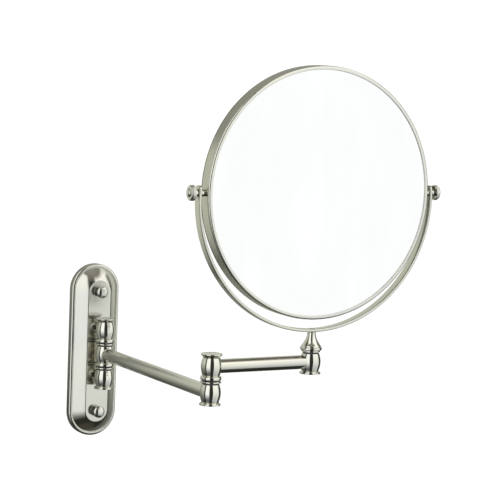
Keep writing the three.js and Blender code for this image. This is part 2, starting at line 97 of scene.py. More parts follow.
# A cap widens from neck to rim up to its straight edge; flare 1 is a straight cone, above 1 a hollow one.
top_cap = {"height": 3.1, "neck": 6.4, "rim": 8.6, "edge": 0.8, "bore_depth": 2.1, "flare": 1}
foot_cap = {"height": 2.3, "neck": 6.8, "rim": 8.5, "edge": 1.1, "bore_depth": 1.7, "flare": 1.6}
cap_rings = ((0.9, 0), (0.85, 0.25), (0.76, 0.3), (0.7, 0.05), (0.45, 0), (0.4, 0.15))  # share of rim, dip
cap_bore = 3.15
cap_round = 0.22
boss_radius = 4.8
spigot = {"radius": 4.4, "reach": 16}
tube = {"radius": 5.6, "bore": 4.6}
bar_rows = (0, 0.02, 0.25, 0.5, 0.75, 0.98, 1)  # shares of a bar's length with a ring of points
washer = {"radius": 7.2, "sunk_radius": 6.35, "thick": 0.4, "lip": 0.6, "lip_bore": 5.7, "round": 0.1}
seal = {"inner": 6.05, "outer": 6.75, "round": 0.15}
# The stem from below: undercut, ring with a sloped edge, round band, then the cone from foot to neck.
stem = {
    "undercut": 5.6, "undercut_height": 0.7, "ring": 1.6, "ring_radius": 7.6, "ring_edge": 0.35,
    "ring_slope": 0.1, "band_gap": 0.3, "band": 2.8, "band_radius": 8.8, "band_foot": 8, "band_power": 2.6,
    "cone_gap": 0.15, "foot": 8.5, "neck": 3.4, "curve": 1.75, "cone_top": 44, "bore_top": 36.3, "round": 0.2,
}
# The yoke's centre lies drop below the pivots, and its ends stand over_pivot above them.
yoke = {"radius": 108, "thick": 2.5, "width": 8, "drop": 4, "over_pivot": 6, "corner": 3, "edge": 0.8}
thinnest_edge = 0.8  # the share of a narrow section's half width that its rounded edge may take
bolt = {"radius": 3, "depth": 1.5, "rise": 0.1, "shank": 1.3, "socket": 1.3, "socket_depth": 0.9}
bolt_round = 0.1
head = {
    "radius": 101.5, "depth": 14.4, "lip": 3.3, "bezel": 2, "band_wall": 1.8, "band_round": 0.25,
    "outer_round": 1.7, "inner_round": 0.5, "groove": 0.5, "groove_width": 0.3,
}
glass = {
    "radius": 99.3, "seat": 99.6, "thick": 3, "recess": 0.85, "round": 0.4, "curve_radius": 1000,
    "curved_thick": 2,
}
spacer = {"radius": 2.8, "bore": 2.15, "round": 0.25}
# The knob's lengths are from the head's centre; cup is how deep its inner face is hollowed inside the rim.
knob = {
    "radius": 6.2, "neck": 2.9, "neck_start": 108.25, "body_start": 111.2, "end": 116.8, "shoulder": 1.7,
    "rim": 0.8, "cup": 2.2, "bore": 2.15, "bore_end": 113.6, "boss": 3.4, "boss_rise": 1.9, "round": 0.2,
    "flutes": 40, "flute_depth": 0.17,
}
half_barrel = knuckle["barrel"] / 2
half_depth = head["depth"] / 2
half_band = half_depth - head["bezel"]
yoke_centre = head_centre - Vector((0, 0, yoke["drop"] * MM))

# ---------------------------------------------------------------- how finely shapes are made
sides = {"small": 96, "head": 288, "bar": 64, "pin": 48, "flute": 8}
steps = {
    "plain_corner": 3, "corner": 4, "fine_corner": 5, "slot_end": 40, "slot_side": 10, "lip": 10, "crown": 12,
    "nut": 10, "barrel": 16, "collar": 12, "cap": 8, "stem_band": 8, "stem_cone": 14, "yoke_arc": 150,
    "yoke_end": 8, "bolt": 6, "bezel": 12, "bowl": 24, "knob": 8,
}
flattest_corner = 25  # degrees; a corner that turns less than this stays as it is
longest_cut = 0.45  # the share of a side that its rounded corner may take
sharp_edge = 38  # degrees
face_weight = 100  # how strongly large faces lead when normals are evened out

outwards = Vector((0, -1, 0))
inwards = Vector((0, 1, 0))
rightwards = Vector((1, 0, 0))
leftwards = Vector((-1, 0, 0))


# ---------------------------------------------------------------- outlines
def between(start, end, share):
    """The value at a share of the way from start to end."""
    return start + (end - start) * share


def quarter_turn(count):
    """Cosine and sine of the angles from 0 to 90 degrees, ending on exactly 0 and 1."""
    angles = [math.pi / 2 * step / count for step in range(count)]
    return [(math.cos(angle), math.sin(angle)) for angle in angles] + [(0, 1)]


def rounded(outline, size, closed=True, cuts=steps["corner"]):
    """The outline with its sharp corners turned into short curves that start size away from the corner."""
    made = []
    for i, corner in enumerate(outline):
        here = Vector(corner)
        if not closed and i in (0, len(outline) - 1):
            made.append(here)
            continue
        before = Vector(outline[i - 1]) - here
        after = Vector(outline[(i + 1) % len(outline)]) - here
        turn = math.degrees(math.pi - before.angle(after))
        if turn < flattest_corner or here.x == 0:
            made.append(here)
            continue
        start = here + before.normalized() * min(size, before.length * longest_cut)
        end = here + after.normalized() * min(size, after.length * longest_cut)
        for step in range(cuts + 1):
            share = step / cuts
            first = start * (1 - share) + here * share
            second = here * (1 - share) + end * share
            made.append(first * (1 - share) + second * share)
    return made


def bulge(foot, top, low, high, power, count):
    """A full round bead: radius foot at the heights low and high, swelling to radius top between them."""
    side = []
    for step in range(count + 1):
        along = 2 * step / count - 1
        swell = (1 - abs(along) ** power) ** (1 / power)
        side.append((between(foot, top, swell), between(low, high, step / count)))
    return side


def slot_ring(width, height, y):
    """An upright slot outline (straight sides, half-round ends) at depth y, as points."""
    radius = width / 2
    straight = height / 2 - radius
    ring = []
    for end in (1, -1):
        for step in range(steps["slot_end"] + 1):
            angle = math.pi * step / steps["slot_end"]
            height_here = straight + radius * math.sin(angle)
            ring.append(Vector((end * radius * math.cos(angle), y, end * height_here)))
        for step in range(1, steps["slot_side"]):
            level = between(straight, -straight, step / steps["slot_side"])
            ring.append(Vector((-end * radius, y, end * level)))
    return ring


# ---------------------------------------------------------------- mesh builders
def fill_rows(mesh, rows, joined=False):
    """Quads between rows of points; a row of one point is a pole, and open ends get a flat lid."""
    made = [[mesh.verts.new(point) for point in row] for row in rows]
    pairs = list(zip(made, made[1:]))
    if joined:
        pairs.append((made[-1], made[0]))
    for low, high in pairs:
        count = max(len(low), len(high))
        if count == 1:
            continue
        for i in range(count):
            j = (i + 1) % count
            corners = [low[i % len(low)], low[j % len(low)], high[j % len(high)], high[i % len(high)]]
            mesh.faces.new(list(dict.fromkeys(corners)))
    if not joined:
        for row in (made[0], made[-1]):
            if len(row) > 2:
                mesh.faces.new(row)


def add_lathe(mesh, section, matrix, closed=True, around=sides["small"]):
    """Turns a section of [radius, height] pairs (millimetres) about the matrix's Z; radius 0 is a pole."""
    rows = []
    for radius, height in section:
        angles = [2 * math.pi * i / around for i in range(around if radius > 0 else 1)]
        ring = [Vector((radius * math.cos(a), radius * math.sin(a), height)) for a in angles]
        rows.append([matrix @ (point * MM) for point in ring])
    fill_rows(mesh, rows, joined=closed)


def mark_sharp(mesh):
    """Keeps the shading apart at edges that turn by sharp_edge or more."""
    limit = math.radians(sharp_edge)
    for edge in mesh.edges:
        edge.smooth = len(edge.link_faces) == 2 and edge.calc_face_angle(0) < limit


def make_piece(name, mesh, cad_node, material):
    """Turns a bmesh into a piece that stands for a CAD node: same body, and the given material."""
    bmesh.ops.recalc_face_normals(mesh, faces=mesh.faces)
    for face in mesh.faces:
        face.smooth = True
    mark_sharp(mesh)
    data = bpy.data.meshes.new(name)
    mesh.to_mesh(data)
    mesh.free()
    data.materials.append(material)
    piece = bpy.data.objects.new(name, data)
    bpy.context.scene.collection.objects.link(piece)
    weighting = piece.modifiers.new("even_normals", "WEIGHTED_NORMAL")
    weighting.keep_sharp = True
    weighting.weight = face_weight
    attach(piece, body_of_node[cad_node])
    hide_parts(cad_node)


def make_turned(name, cad_node, section, matrix, material, **shape):
    """A piece that is one lathe."""
    mesh = bmesh.new()
    add_lathe(mesh, section, matrix, **shape)
    make_piece(name, mesh, cad_node, material)


def upright(post, z, flip=False):
    """The matrix that stands a lathe at a post, with its zero at height z (metres)."""
    turn = Matrix.Rotation(math.pi, 4, "X") if flip else Matrix.Identity(4)
    return Matrix.Translation((post.x, post.y, z)) @ turn


def along_x(place, side):
    """The matrix that points a lathe's +Z along side * X from a place."""
    return Matrix.Translation(place) @ Matrix.Rotation(side * math.pi / 2, 4, "Y")


def along_y(place, front=False):
    """The matrix that points a lathe's +Z along +Y, or along -Y for the front."""
    return Matrix.Translation(place) @ Matrix.Rotation((1 if front else -1) * math.pi / 2, 4, "X")


# ---------------------------------------------------------------- shader helpers
mix_sockets = {"share": 0, "low": 6, "high": 7, "colour": 2}  # places of the Mix node's colour sockets


def connect(tree, socket, value):
    """Links the value to the socket if it comes from a node, or else sets it there."""
    if isinstance(value, bpy.types.NodeSocket):
        tree.links.new(value, socket)
    else:
        socket.default_value = value


def node(tree, kind, inputs=None, **settings):
    """Adds a shader node, with its settings and the values or links of its inputs."""
    made = tree.nodes.new("ShaderNode" + kind)
    for key, value in settings.items():
        setattr(made, key, value)
    for key, value in (inputs or {}).items():
        connect(tree, made.inputs[key], value)
    return made


def maths(tree, operation, a, b=0.0, c=0.0):
    return node(tree, "Math", {0: a, 1: b, 2: c}, operation=operation).outputs[0]


def product(tree, first, *others):
    for other in others:
        first = maths(tree, "MULTIPLY", first, other)
    return first


def ramp(tree, value, low, high, to_low=0.0, to_high=1.0, smooth=True):
    """The value carried from [low, high] to [to_low, to_high], held at both ends."""
    kind = "SMOOTHSTEP" if smooth else "LINEAR"
    inputs = {"Value": value, "From Min": low, "From Max": high, "To Min": to_low, "To Max": to_high}
    return node(tree, "MapRange", inputs, interpolation_type=kind).outputs["Result"]


def mix_colour(tree, share, low, high):
    made = node(tree, "Mix", data_type="RGBA")
    for key, value in (("share", share), ("low", low), ("high", high)):
        connect(tree, made.inputs[mix_sockets[key]], value)
    return made.outputs[mix_sockets["colour"]]


def rgba(colour, by=(1.0, 1.0, 1.0)):
    """A shader colour, each of its parts multiplied by the same part of another."""
    return (*(part * share for part, share in zip(colour, by)), 1.0)


# ---------------------------------------------------------------- materials
# Noise runs from 0 to 1 and gathers near the middle; these are the stretches of it that are used.
tint_noise = (0.35, 0.65)
streak_noise = (0.25, 0.75)
deep_streak_noise = (0.62, 0.8)
mark_noise = (0.55, 0.8)
speckle_noise = (0.3, 0.7)
wipe_noise = (0.4, 0.7)
# Grain is how many noise cells a metre has along X, Y and Z.
slow_grain = (14, 14, 14)
mark_grain = (60, 60, 60)
wipe_grain = (30, 30, 9)
# Detail is how many finer layers the noise has.
plain_detail = 2.0
streak_detail = 4.0
fine_detail = 5.0
# What the parts of a colour are multiplied by.
cool = (0.97, 0.97, 0.97)
warm = (1.03, 1.02, 0.98)
dull = (0.9, 0.9, 0.9)
pitted = (0.82, 0.82, 0.82)
# How high the relief stands, in metres.
scratch_depth = 0.02 * MM
speckle_depth = 0.05 * MM


def new_material(name):
    material = bpy.data.materials.new(name)
    material.use_nodes = True
    tree = material.node_tree
    return material, tree, tree.nodes["Principled BSDF"]


def grain_noise(tree, grain, detail):
    """Noise in the piece's own space, drawn out along the directions where the grain is coarse."""
    place = node(tree, "TexCoord").outputs["Object"]
    scaled = node(tree, "Mapping", {"Vector": place, "Scale": grain}).outputs["Vector"]
    return node(tree, "TexNoise", {"Vector": scaled, "Scale": 1.0, "Detail": detail}).outputs["Fac"]


def add_relief(tree, shader, height, strength, depth):
    relief = node(tree, "Bump", {"Height": height, "Strength": strength, "Distance": depth})
    connect(tree, shader.inputs["Normal"], relief.outputs["Normal"])


def metal(name, colour, roughness, grain, streak=0.05, bump=0.1, handling=0.05, dulling=0.5):
    """Plated metal: slow tint changes, fine streaks and faint handling marks in the gloss."""
    material, tree, shader = new_material(name)
    slow = grain_noise(tree, slow_grain, plain_detail)
    streaks = grain_noise(tree, grain, streak_detail)
    marks = grain_noise(tree, mark_grain, fine_detail)
    tint = mix_colour(tree, ramp(tree, slow, *tint_noise), rgba(colour, cool), rgba(colour, warm))
    tint = mix_colour(tree, ramp(tree, streaks, *deep_streak_noise, 0.0, dulling), tint, rgba(colour, dull))
    rough = ramp(tree, streaks, *streak_noise, roughness - streak, roughness + streak, smooth=False)
    rough = maths(tree, "ADD", rough, ramp(tree, marks, *mark_noise, 0.0, handling))
    connect(tree, shader.inputs["Base Color"], tint)
    connect(tree, shader.inputs["Roughness"], rough)
    shader.inputs["Metallic"].default_value = 1.0
    add_relief(tree, shader, streaks, bump, scratch_depth)
    return material


def silvered_glass(name, wiped_colour, clean_colour):
    """Mirror glass: perfectly sharp, with a few faint wiping marks in its brightness."""
    material, tree, shader = new_material(name)
    wipes = ramp(tree, grain_noise(tree, wipe_grain, streak_detail), *wipe_noise)
    shade = mix_colour(tree, wipes, rgba(wiped_colour), rgba(clean_colour))
    connect(tree, shader.inputs["Base Color"], shade)
    shader.inputs["Roughness"].default_value = 0.0
    shader.inputs["Metallic"].default_value = 1.0
    return material


def moulded(name, colour, roughness, grain, uneven=0.08, bump=0.3):
    """Plastic or foam with a fine moulded grain."""
    material, tree, shader = new_material(name)
    speckle = grain_noise(tree, (grain, grain, grain), fine_detail)
    tint = mix_colour(tree, ramp(tree, speckle, *speckle_noise), rgba(colour, pitted), rgba(colour))
    connect(tree, shader.inputs["Base Color"], tint)
    rough = ramp(tree, speckle, *speckle_noise, roughness - uneven, roughness + uneven)
    connect(tree, shader.inputs["Roughness"], rough)
    add_relief(tree, shader, speckle, bump, speckle_depth)
    return material


satin = (0.69, 0.68, 0.63)
bright = (0.74, 0.735, 0.69)
turned_nickel = metal("turned_nickel", bright, 0.085, grain=(60, 60, 4200), streak=0.03, bump=0.12)
plate_nickel = metal("plate_nickel", satin, 0.155, grain=(2200, 900, 50), streak=0.045)
arm1_nickel = metal("arm1_nickel", satin, 0.17, grain=(1500, 30, 1500), streak=0.04, bump=0.05)
arm2_nickel = metal("arm2_nickel", satin, 0.12, grain=(30, 1500, 1500), streak=0.03, bump=0.04)
rim_nickel = metal("rim_nickel", bright, 0.19, grain=(60, 3600, 60))
band_nickel = metal("band_nickel", (0.62, 0.61, 0.555), 0.2, grain=(60, 3600, 60))
yoke_nickel = metal("yoke_nickel", (0.68, 0.67, 0.61), 0.16, grain=(60, 3600, 60))
knob_nickel = metal("knob_nickel", bright, 0.17, grain=(4200, 60, 60), streak=0.03, bump=0.12)
nut_nickel = metal("nut_nickel", bright, 0.19, grain=(60, 4200, 60), streak=0.03, bump=0.12)
zinc_steel = metal("zinc_steel", (0.55, 0.57, 0.58), 0.32, grain=(900, 900, 900), streak=0.08, bump=0.2)
spring_steel = metal("spring_steel", (0.3, 0.3, 0.31), 0.3, grain=(400, 400, 2400), streak=0.06, bump=0.2)
mirror_glass = silvered_glass("mirror_glass", (0.915, 0.92, 0.92), (0.94, 0.945, 0.945))
nylon = moulded("nylon", (0.30, 0.295, 0.28), 0.5, grain=1400)
black_nylon = moulded("black_nylon", (0.045, 0.045, 0.045), 0.5, grain=1400)
foam = moulded("foam", (0.05, 0.05, 0.055), 0.9, grain=2200)
# The CAD nodes that keep their shape take these by their slot.
slot_finish = {"zinc_steel": zinc_steel, "spring_steel": spring_steel, "nylon": nylon, "foam": foam}


# ---------------------------------------------------------------- wall plate
def plate_outline(skin):
    """(inset, depth) pairs from the wall: rim, lip, groove and crowned bevel, run skin inside the cover."""
    full = (plate["width"] - plate["panel_width"]) / 2
    rim = plate["rim"] - skin
    lip = plate["lip"] + skin * plate["inner_lip"]
    top = plate["panel_depth"] - skin
    outline = [(skin, 0)]
    for cosine, sine in quarter_turn(steps["lip"]):
        outline.append((between(skin, lip, 1 - cosine), rim - plate["lip_fall"] * (1 - sine)))
    if skin == 0:
        groove = plate["groove"]
        outline += [(lip + groove, rim - groove), (lip + 2 * groove, rim)]
    start = outline[-1][0]
    for step in range(1, steps["crown"] + 1):
        along = step / steps["crown"]
        rise = along + plate["crown"] * along * (1 - along)
        outline.append((between(start, full, along), between(rim, top, rise)))
    outline.append((full + plate["panel_lap"], top))
    corner = plate["inner_round"] if skin else plate["round"]
    return rounded(outline, corner, closed=False, cuts=steps["fine_corner"])


def plate_rows(skin):
    """Rows of the plate's skin; how far a point is inset sets the slot outline that it lies on."""
    full = (plate["width"] - plate["panel_width"]) / 2
    rows = []
    for inset, depth in plate_outline(skin):
        width = between(plate["width"], plate["panel_width"], inset / full)
        height = between(plate["height"], plate["panel_height"], inset / full)
        rows.append([point * MM for point in slot_ring(width, height, -depth)])
    return rows


def build_plate():
    mesh = bmesh.new()
    fill_rows(mesh, plate_rows(plate["wall"])[::-1] + plate_rows(0))
    make_piece("wall_plate_cover", mesh, "wall_plate", plate_nickel)


def build_nuts():
    bore = nut["bore"]
    section = [(bore, 0), (nut["radius"], 0)]
    for cosine, sine in quarter_turn(steps["nut"]):
        section.append((nut["radius"] * cosine, nut["length"] - nut["dome"] + nut["dome"] * sine))
    section += [(0, nut["bore_depth"]), (bore, nut["bore_depth"])]
    section = rounded(section, nut["round"])
    for name in ("cap_nut_upper", "cap_nut_lower"):
        low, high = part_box(name)
        seat = along_y(((low.x + high.x) / 2, high.y, (low.z + high.z) / 2), front=True)
        make_turned(f"{name}_domed", name, section, seat, nut_nickel)


# ---------------------------------------------------------------- turned posts and arms
def belly(along):
    """A barrel's radius at a share of its height."""
    return knuckle["waist"] + (knuckle["belly"] - knuckle["waist"]) * math.sin(along * math.pi)


def collar_side(low, high):
    """A bead or ring that swells out of the waist with full round shoulders."""
    foot, top, power = knuckle["collar_foot"], knuckle["collar"], knuckle["collar_power"]
    return bulge(foot, top, low, high, power, steps["collar"])


def knuckle_section(bead=False, ring=False, sunk=False):
    """A barrel with, where asked, a bead below, a ring above and a recess below for a spring washer."""
    shares = [step / steps["barrel"] for step in range(steps["barrel"] + 1)]
    side = [(belly(along), -half_barrel + along * knuckle["barrel"]) for along in shares]
    if bead:
        root = knuckle["waist"] - bead_groove["depth"]
        top = -half_barrel - bead_groove["height"]
        side = collar_side(-half_barrel - knuckle["bead"], top) + [(root, top), (root, -half_barrel)] + side
    if ring:
        root = knuckle["waist"] - ring_groove["depth"]
        foot = half_barrel + ring_groove["height"]
        side += [(root, half_barrel), (root, foot)] + collar_side(foot, half_barrel + knuckle["ring"])
    low, high = side[0][1], side[-1][1]
    bore = knuckle["bore"]
    mouth = [(bore, low)]
    if sunk:
        floor = low + recess["depth"]
        mouth = [(bore, floor), (recess["radius"], floor), (recess["radius"], low)]
    return mouth + side + [(bore, high)]


def add_knuckle(mesh, place, **shape):
    section = rounded(knuckle_section(**shape), knuckle["round"], cuts=steps["plain_corner"])
    add_lathe(mesh, section, Matrix.Translation(place))


def shaped_end(radius, angle):
    """How far from a post's axis a round bar meets the barrel, at one angle round the bar."""
    across = radius * math.cos(angle)
    height = radius * math.sin(angle)
    along = min(1, max(0, (height + half_barrel) / knuckle["barrel"]))
    return math.sqrt(belly(along) ** 2 - across**2) - clear


def add_bar(mesh, radius, place, direction, length, bore=None, far_barrel=False):
    """A round bar from a post outwards, its end (or both ends) shaped to the barrels it meets."""
    side = Vector((-direction.y, direction.x, 0))

    def ring(share, size):
        points = []
        for i in range(sides["bar"]):
            angle = 2 * math.pi * i / sides["bar"]
            near = shaped_end(size, angle)
            far = length - near if far_barrel else length
            off = side * size * math.cos(angle) + Vector((0, 0, size * math.sin(angle)))
            points.append(place + (direction * between(near, far, share) + off) * MM)
        return points

    rows = [ring(share, radius) for share in bar_rows]
    if bore:
        rows += [ring(1, bore), ring(0, bore)]
    fill_rows(mesh, rows, joined=bool(bore))


def on_level(post, level):
    """The place on a post's axis at the middle of one level's knuckle."""
    return Vector((post.x, post.y, levels[level]))


def build_wall_knuckles():
    reach = -wall_post.y / MM - plate["panel_depth"] - clear
    for level, shape in (("upper", {"bead": True}), ("lower", {"ring": True, "sunk": True})):
        mesh = bmesh.new()
        place = on_level(wall_post, level)
        add_knuckle(mesh, place, **shape)
        add_bar(mesh, boss_radius, place, inwards, reach)
        make_piece(f"wall_knuckle_{level}_turned", mesh, f"wall_knuckle_{level}", turned_nickel)


def build_arm_knuckles():
    for name, post, level, direction, shape in (
        ("arm1_rear_knuckle", wall_post, "middle", outwards, {"bead": True, "ring": True}),
        ("arm1_front_knuckle", elbow_post, "middle", inwards, {"ring": True, "sunk": True}),
        ("arm2_rear_knuckle", elbow_post, "upper", rightwards, {"bead": True}),
        ("arm2_front_knuckle", swivel_post, "upper", leftwards, {"sunk": True}),
    ):
        mesh = bmesh.new()
        place = on_level(post, level)
        add_knuckle(mesh, place, **shape)
        add_bar(mesh, spigot["radius"], place, direction, spigot["reach"])
        make_piece(f"{name}_turned", mesh, name, turned_nickel)


def build_tubes():
    for name, level, first, second, direction, material in (
        ("arm1_tube", "middle", wall_post, elbow_post, outwards, arm1_nickel),
        ("arm2_tube", "upper", elbow_post, swivel_post, rightwards, arm2_nickel),
    ):
        mesh = bmesh.new()
        start = on_level(first, level)
        length = (on_level(second, level) - start).length / MM
        add_bar(mesh, tube["radius"], start, direction, length, tube["bore"], far_barrel=True)
        make_piece(f"{name}_drawn", mesh, name, material)


def cap_section(size, rings=()):
    """A flared cap standing on its neck, with shallow rings turned into its top face."""
    section = [(cap_bore, 0)]
    for step in range(steps["cap"] + 1):
        along = step / steps["cap"]
        radius = between(size["neck"], size["rim"], along ** size["flare"])
        section.append((radius, (size["height"] - size["edge"]) * along))
    section.append((size["rim"], size["height"]))
    section += [(size["rim"] * share, size["height"] - dip) for share, dip in rings]
    section += [(0, size["height"]), (0, size["bore_depth"]), (cap_bore, size["bore_depth"])]
    return rounded(section, cap_round)


def build_caps():
    top, foot = cap_section(top_cap, cap_rings), cap_section(foot_cap)
    for name, post in (
        ("wall_hinge_top_cap", wall_post),
        ("wall_hinge_bottom_cap", wall_post),
        ("elbow_top_cap", elbow_post),
        ("elbow_bottom_cap", elbow_post),
        ("swivel_bottom_cap", swivel_post),
    ):
        low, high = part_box(name)
        hangs = "bottom" in name
        seat = upright(post, high.z if hangs else low.z, flip=hangs)
        make_turned(f"{name}_turned", name, foot if hangs else top, seat, turned_nickel)


def build_collar_washers():
    """Each washer with the dark seal ring in the groove of the collar ring below it."""
    bore, radius, thick = knuckle["bore"], washer["radius"], washer["thick"]
    disc = rounded([(bore, 0), (radius, 0), (radius, thick), (bore, thick)], washer["round"])
    inner, outer = seal["inner"], seal["outer"]
    low = half_barrel + clear
    high = half_barrel + ring_groove["height"] - clear
    ring = rounded([(inner, low), (outer, low), (outer, high), (inner, high)], seal["round"])
    for name, post, knuckle_below in (
        ("wall_washer_upper", wall_post, "middle"),
        ("wall_washer_lower", wall_post, "lower"),
        ("elbow_washer", elbow_post, "middle"),
    ):
        mesh = bmesh.new()
        add_lathe(mesh, disc, upright(post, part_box(name)[0].z))
        add_lathe(mesh, ring, upright(post, levels[knuckle_below]))
        make_piece(f"{name}_disc", mesh, name, black_nylon)


def build_swivel_washer():
    """A washer with a lip up round the stem's undercut."""
    bore, inner, outer, thick = knuckle["bore"], washer["lip_bore"], washer["sunk_radius"], washer["thick"]
    top = thick + washer["lip"]
    section = [(bore, 0), (outer, 0), (outer, top), (inner, top), (inner, thick), (bore, thick)]
    seat = upright(swivel_post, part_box("swivel_washer")[0].z)
    make_turned("swivel_washer_disc", "swivel_washer", rounded(section, washer["round"]), seat, black_nylon)


# ---------------------------------------------------------------- stem and yoke
def build_stem():
    """A ring, a round band and a long curved cone, bored from below for the swivel's screw."""
    low, high = (corner.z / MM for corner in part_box("yoke_stem"))
    ring_low, ring_top = low + stem["undercut_height"], low + stem["ring"]
    band_low = ring_top + stem["band_gap"]
    band_top = band_low + stem["band"]
    ring, foot, neck = stem["ring_radius"], stem["foot"], stem["neck"]
    section = [(cap_bore, low), (stem["undercut"], low), (stem["undercut"], ring_low), (ring, ring_low)]
    section += [(ring, ring_top), (ring - stem["ring_edge"], ring_top + stem["ring_slope"])]
    band = (stem["band_foot"], stem["band_radius"], band_low, band_top, stem["band_power"])
    section += bulge(*band, steps["stem_band"])
    for step in range(1, steps["stem_cone"] + 1):
        along = step / steps["stem_cone"]
        radius = neck + (foot - neck) * (1 - along) ** stem["curve"]
        section.append((radius, between(band_top + stem["cone_gap"], stem["cone_top"], along)))
    section += [(neck, high), (0, high), (0, stem["bore_top"]), (cap_bore, stem["bore_top"])]
    section = rounded(section, stem["round"], cuts=steps["plain_corner"])
    make_turned("yoke_stem_turned", "yoke_stem", section, upright(swivel_post, 0), turned_nickel)


def strip_row(angle, half_width):
    """The yoke's rounded rectangular section at one angle of its arc."""
    inner, outer = yoke["radius"] - yoke["thick"], yoke["radius"]
    corners = [(inner, -half_width), (outer, -half_width), (outer, half_width), (inner, half_width)]
    edge = min(yoke["edge"], half_width * thinnest_edge)
    outline = rounded(corners, edge, cuts=steps["plain_corner"])
    return [yoke_centre + Vector((r * math.cos(angle), y, r * math.sin(angle))) * MM for r, y in outline]


def build_yoke():
    """A strip bent to an arc whose ends are rounded above the pivots."""
    rise = math.asin((yoke["drop"] + yoke["over_pivot"]) / yoke["radius"])
    corner, half_width = yoke["corner"], yoke["width"] / 2
    corner_turn = corner / yoke["radius"]
    rows = []
    for step in range(steps["yoke_end"]):
        share = step / steps["yoke_end"]
        width = half_width - corner + corner * math.sin(math.acos(1 - share))
        rows.append(strip_row(rise - corner_turn * share, width))
    far_end = [[Vector((2 * yoke_centre.x - p.x, p.y, p.z)) for p in row] for row in reversed(rows)]
    for step in range(steps["yoke_arc"] + 1):
        angle = between(rise - corner_turn, corner_turn - math.pi - rise, step / steps["yoke_arc"])
        rows.append(strip_row(angle, half_width))
    mesh = bmesh.new()
    fill_rows(mesh, rows + far_end)
    make_piece("yoke_strip", mesh, "yoke", yoke_nickel)


def build_stem_bolt():
    """The countersunk bolt through the yoke's inner face, its low domed head with a round socket."""
    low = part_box("stem_screw")[0].z / MM
    seat = (yoke_centre.z / MM) - yoke["radius"] + yoke["thick"]
    shank, radius, rise, socket = bolt["shank"], bolt["radius"], bolt["rise"], bolt["socket"]
    section = [(0, low), (shank, low), (shank, seat - bolt["depth"]), (radius, seat)]
    for cosine, sine in quarter_turn(steps["bolt"])[1:]:
        section.append((between(socket, radius, cosine), seat + rise * sine))
    floor = seat + rise - bolt["socket_depth"]
    section = rounded(section + [(socket, floor), (0, floor)], bolt_round, closed=False)
    shape = {"closed": False, "around": sides["pin"]}
    make_turned("stem_screw_bolt", "stem_screw", section, upright(swivel_post, 0), zinc_steel, **shape)


# ---------------------------------------------------------------- mirror head
def build_bezels():
    """The front and rear rims: a groove at the band, a round shoulder and a lip over the glass."""
    radius, seat = head["radius"], glass["seat"]
    lip_radius, lip_back = radius - head["lip"], half_depth - glass["recess"] + clear
    base = half_band + clear / 2
    shoulder = base + head["groove_width"]
    outline = [(seat, base), (radius - head["groove"], base), (radius - head["groove"], shoulder)]
    for cosine, sine in quarter_turn(steps["bezel"]):
        outline.append((radius - head["outer_round"] * (1 - cosine), between(shoulder, half_depth, sine)))
    lip = [outline[-1], (lip_radius, half_depth), (lip_radius, lip_back), (seat, lip_back)]
    outline += rounded(lip, head["inner_round"], closed=False, cuts=steps["fine_corner"])[1:]
    for name, front in (("front_bezel", True), ("rear_bezel", False)):
        seat_at = along_y(head_centre, front)
        make_turned(f"{name}_spun", name, outline, seat_at, rim_nickel, around=sides["head"])


def build_band():
    inner, outer, half = head["radius"] - head["band_wall"], head["radius"] - clear, half_band - clear / 2
    section = rounded([(inner, -half), (outer, -half), (outer, half), (inner, half)], head["band_round"])
    seat = along_y(head_centre)
    make_turned("mirror_band_rolled", "mirror_band", section, seat, band_nickel, around=sides["head"])


def build_glasses():
    """The flat front glass and the dished rear one."""
    shape = {"closed": False, "around": sides["head"]}
    radius, front = glass["radius"], half_depth - glass["recess"]
    back = front - glass["thick"]
    corners = [(0, back), (radius, back), (radius, front), (0, front)]
    section = rounded(corners, glass["round"], closed=False, cuts=steps["plain_corner"])
    make_turned("front_glass_flat", "front_glass", section, along_y(head_centre, True), mirror_glass, **shape)
    bowl = []
    for step in range(steps["bowl"] + 1):
        reach = radius * step / steps["bowl"]
        bowl.append((reach, front - (radius**2 - reach**2) / (2 * glass["curve_radius"])))
    section = [(reach, depth - glass["curved_thick"]) for reach, depth in bowl] + bowl[::-1]
    make_turned("rear_glass_dished", "rear_glass", section, along_y(head_centre), mirror_glass, **shape)


# ---------------------------------------------------------------- pivots
def build_spacer(place, side):
    """The sleeve between the band and the yoke's inner face."""
    inner = head["radius"] + clear
    outer = math.sqrt((yoke["radius"] - yoke["thick"]) ** 2 - yoke["drop"] ** 2) - clear
    bore, radius = spacer["bore"], spacer["radius"]
    section = rounded([(bore, inner), (radius, inner), (radius, outer), (bore, outer)], spacer["round"])
    name = f"pivot_spacer_{place}"
    seat = along_x(head_centre, side)
    make_turned(f"{name}_sleeve", name, section, seat, turned_nickel, around=sides["pin"])


def knob_section():
    """A neck in a hollow inner face, a round body with a rounded shoulder, and a domed boss on the end."""
    body, bore, radius, neck = knob["body_start"], knob["bore"], knob["radius"], knob["neck"]
    cup_floor, rim, top = body + knob["cup"], radius - knob["rim"], knob["end"] - knob["boss_rise"]
    section = [(bore, knob["neck_start"]), (neck, knob["neck_start"]), (neck, cup_floor), (rim, cup_floor)]
    section += [(rim, body), (radius, body), (radius, top - knob["shoulder"])]
    shoulder = knob["shoulder"]
    for cosine, sine in quarter_turn(steps["knob"])[1:]:
        section.append((between(radius - shoulder, radius, cosine), top + (sine - 1) * shoulder))
    for cosine, sine in quarter_turn(steps["knob"]):
        section.append((knob["boss"] * cosine, top + knob["boss_rise"] * sine))
    section += [(0, knob["bore_end"]), (bore, knob["bore_end"])]
    return rounded(section, knob["round"], cuts=steps["plain_corner"])


